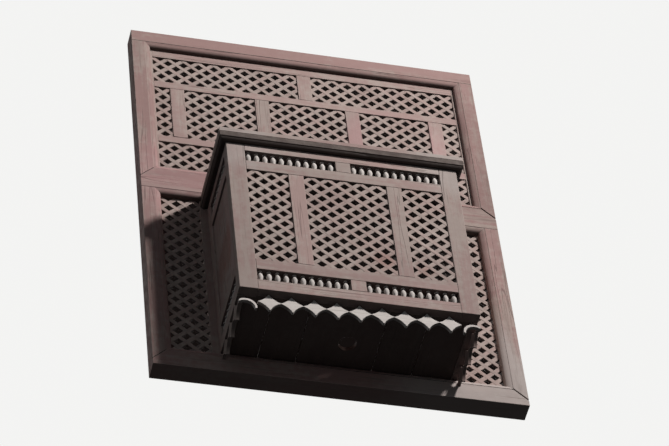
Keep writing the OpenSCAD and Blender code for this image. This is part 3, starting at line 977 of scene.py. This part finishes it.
def front_valance():
    """Row of whole stars, with a crescent at each end."""
    low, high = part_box("valance_front")
    length, tall = high.x - low.x, high.z - low.z
    row = (2 * math.floor(length / 2 / STAR_PITCH) - 1) * STAR_PITCH
    stars = [((low.x + high.x - row) / 2 + a, low.z + b) for a, b in star_outline(row, tall)]
    right_arch = [(low.x + a, low.z + b) for a, b in end_arch(length)]
    left_arch = [(high.x - a, low.z + b) for a, b in end_arch(length)]
    timber = Timber()
    for outline in (stars, right_arch, left_arch):
        timber.add(slab(outline, "y", low.y, high.y, FINE_ARRIS), X_AXIS)
    timber.finish("valance_front_wood", "valance_front")


def side_valance(node):
    """Row of stars that the board's ends cut off."""
    low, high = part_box(node)
    timber = Timber()
    outline = [(low.y + a, low.z + b) for a, b in star_outline(high.y - low.y, high.z - low.z)]
    timber.add(slab(outline, "x", low.x, high.x, FINE_ARRIS), Y_AXIS)
    timber.finish(node + "_wood", node)


def bay():
    """Projecting bay, from its posts and rails to its roof, floor and valances."""
    for node in ("bay_post_left", "bay_post_right", "bay_back_post_left", "bay_back_post_right"):
        plain_node(node, Z_AXIS, ARRIS)
    for node in ("bay_bottom_rail", "bay_lower_rail", "bay_upper_rail", "bay_top_rail"):
        plain_node(node, X_AXIS, FINE_ARRIS, (JOINT_GAP, 0, 0))
    plain_node("bay_muntins", Z_AXIS, FINE_ARRIS, (0, 0, JOINT_GAP))
    for node in ("side_rails_left", "side_rails_right"):
        plain_node(node, Y_AXIS, FINE_ARRIS, (0, JOINT_GAP, 0))
    for node in ("side_panel_left", "side_panel_right"):
        side_boards(node)
    for node in ("bay_lattice_left", "bay_lattice_centre", "bay_lattice_right"):
        lattice_node(node)
    for node in ("spindles_bottom", "spindles_top"):
        spindle_node(node)
    roof()
    roof_strip()
    floor_boards()
    front_valance()
    for node in ("valance_left", "valance_right"):
        side_valance(node)


# Stage: floor, backdrop, light and camera

def stage_mesh(name, points, material):
    """One face that belongs to the stage."""
    mesh = bpy.data.meshes.new(name)
    mesh.from_pydata(points, [], [list(range(len(points)))])
    mesh.materials.append(material)
    thing = bpy.data.objects.new(name, mesh)
    bpy.context.scene.collection.objects.link(thing)


def floor():
    """Wide pale floor far below, since the camera looks up at the window from the street."""
    material, nodes = new_material("pale_floor")
    seen = nodes.add("ShaderNodeLightPath").outputs["Is Camera Ray"]
    diffuse = nodes.add("ShaderNodeBsdfDiffuse", {"Color": FLOOR_COLOUR})
    strength = nodes.math("MULTIPLY", seen, FLOOR_GLOW)
    glow = nodes.add("ShaderNodeEmission", {"Color": PALE, "Strength": strength})
    both = nodes.add("ShaderNodeAddShader", {0: diffuse.outputs[0], 1: glow.outputs[0]})
    nodes.add("ShaderNodeOutputMaterial", {"Surface": both.outputs[0]})
    points = [(x, y, FLOOR_Z) for x, y in box_outline(-FLOOR_REACH, -FLOOR_REACH, FLOOR_REACH, FLOOR_REACH)]
    stage_mesh("floor", points, material)


def dark_backdrop():
    """Dark glowing backdrop close behind the frame: painted shade for the unlit room behind the holes.

    It shows from the front only, and takes no light away, so the back of the window stays in view.
    """
    material, nodes = new_material("dark_backdrop")
    seen = nodes.add("ShaderNodeLightPath").outputs["Is Camera Ray"]
    behind = nodes.add("ShaderNodeNewGeometry").outputs["Backfacing"]
    shown = nodes.math("MULTIPLY", seen, nodes.math("SUBTRACT", 1.0, behind))
    # It glows dark, as painted shade
    dark = nodes.add("ShaderNodeEmission", {"Color": ROOM_SHADE_COLOUR}).outputs[0]
    clear = nodes.add("ShaderNodeBsdfTransparent").outputs[0]
    nodes.add("ShaderNodeOutputMaterial", {"Surface": nodes.choose(shown, clear, dark)})
    inset = BACKDROP_INSET
    outline = box_outline(model_low.x + inset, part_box("frame_sill_rail")[0].z + inset,
                          model_high.x - inset, model_high.z - inset)
    stage_mesh("backdrop", [(x, model_high.y + BACKDROP_GAP, z) for x, z in outline], material)


def lamp(name, centre, from_direction, power):
    """Round lamp at a distance from a place, which it shines on."""
    data = bpy.data.lights.new(name, "AREA")
    data.shape = "DISK"
    data.size = LAMP_SIZE
    data.energy = power
    thing = bpy.data.objects.new(name, data)
    thing.location = centre + from_direction.normalized() * LAMP_DISTANCE
    thing.rotation_mode = "QUATERNION"
    thing.rotation_quaternion = (-from_direction).to_track_quat("-Z", "Y")
    bpy.context.scene.collection.objects.link(thing)


def world():
    """Even fill light, behind a pale background that the camera sees."""
    made = bpy.data.worlds.new("studio")
    bpy.context.scene.world = made
    made.use_nodes = True
    nodes = Nodes(made.node_tree)
    rays = nodes.add("ShaderNodeLightPath").outputs
    seen = nodes.math("MAXIMUM", rays["Is Camera Ray"], rays["Is Glossy Ray"])
    seen = nodes.math("MAXIMUM", seen, rays["Is Transmission Ray"])
    fill = nodes.add("ShaderNodeBackground", {"Color": FILL_COLOUR, "Strength": FILL}).outputs[0]
    pale = nodes.add("ShaderNodeBackground", {"Color": PALE}).outputs[0]
    nodes.add("ShaderNodeOutputWorld", {"Surface": nodes.choose(seen, fill, pale)})


def camera(centre):
    """The photograph's camera."""
    data = bpy.data.cameras.new("camera")
    data.lens = CAMERA_LENS
    data.sensor_width = CAMERA_SENSOR_W
    data.clip_end = CAMERA_CLIP_END
    thing = bpy.data.objects.new("camera", data)
    thing.location = CAMERA_AT
    thing.rotation_mode = "QUATERNION"
    aim = (centre - Vector((0, 0, CAMERA_AIM_DROP)) - CAMERA_AT).to_track_quat("-Z", "Y")
    thing.rotation_quaternion = aim @ Quaternion((0, 0, 1), CAMERA_ROLL)
    bpy.context.scene.collection.objects.link(thing)
    bpy.context.scene.camera = thing


middle = (model_low + model_high) / 2
camera(middle)
frame_members()
screens()
bay()
floor()
dark_backdrop()
lamp("key", middle, KEY_FROM, KEY_POWER)
lamp("back", middle, BACK_FROM, BACK_POWER)
world()
bpy.context.scene.view_settings.view_transform = "Standard"
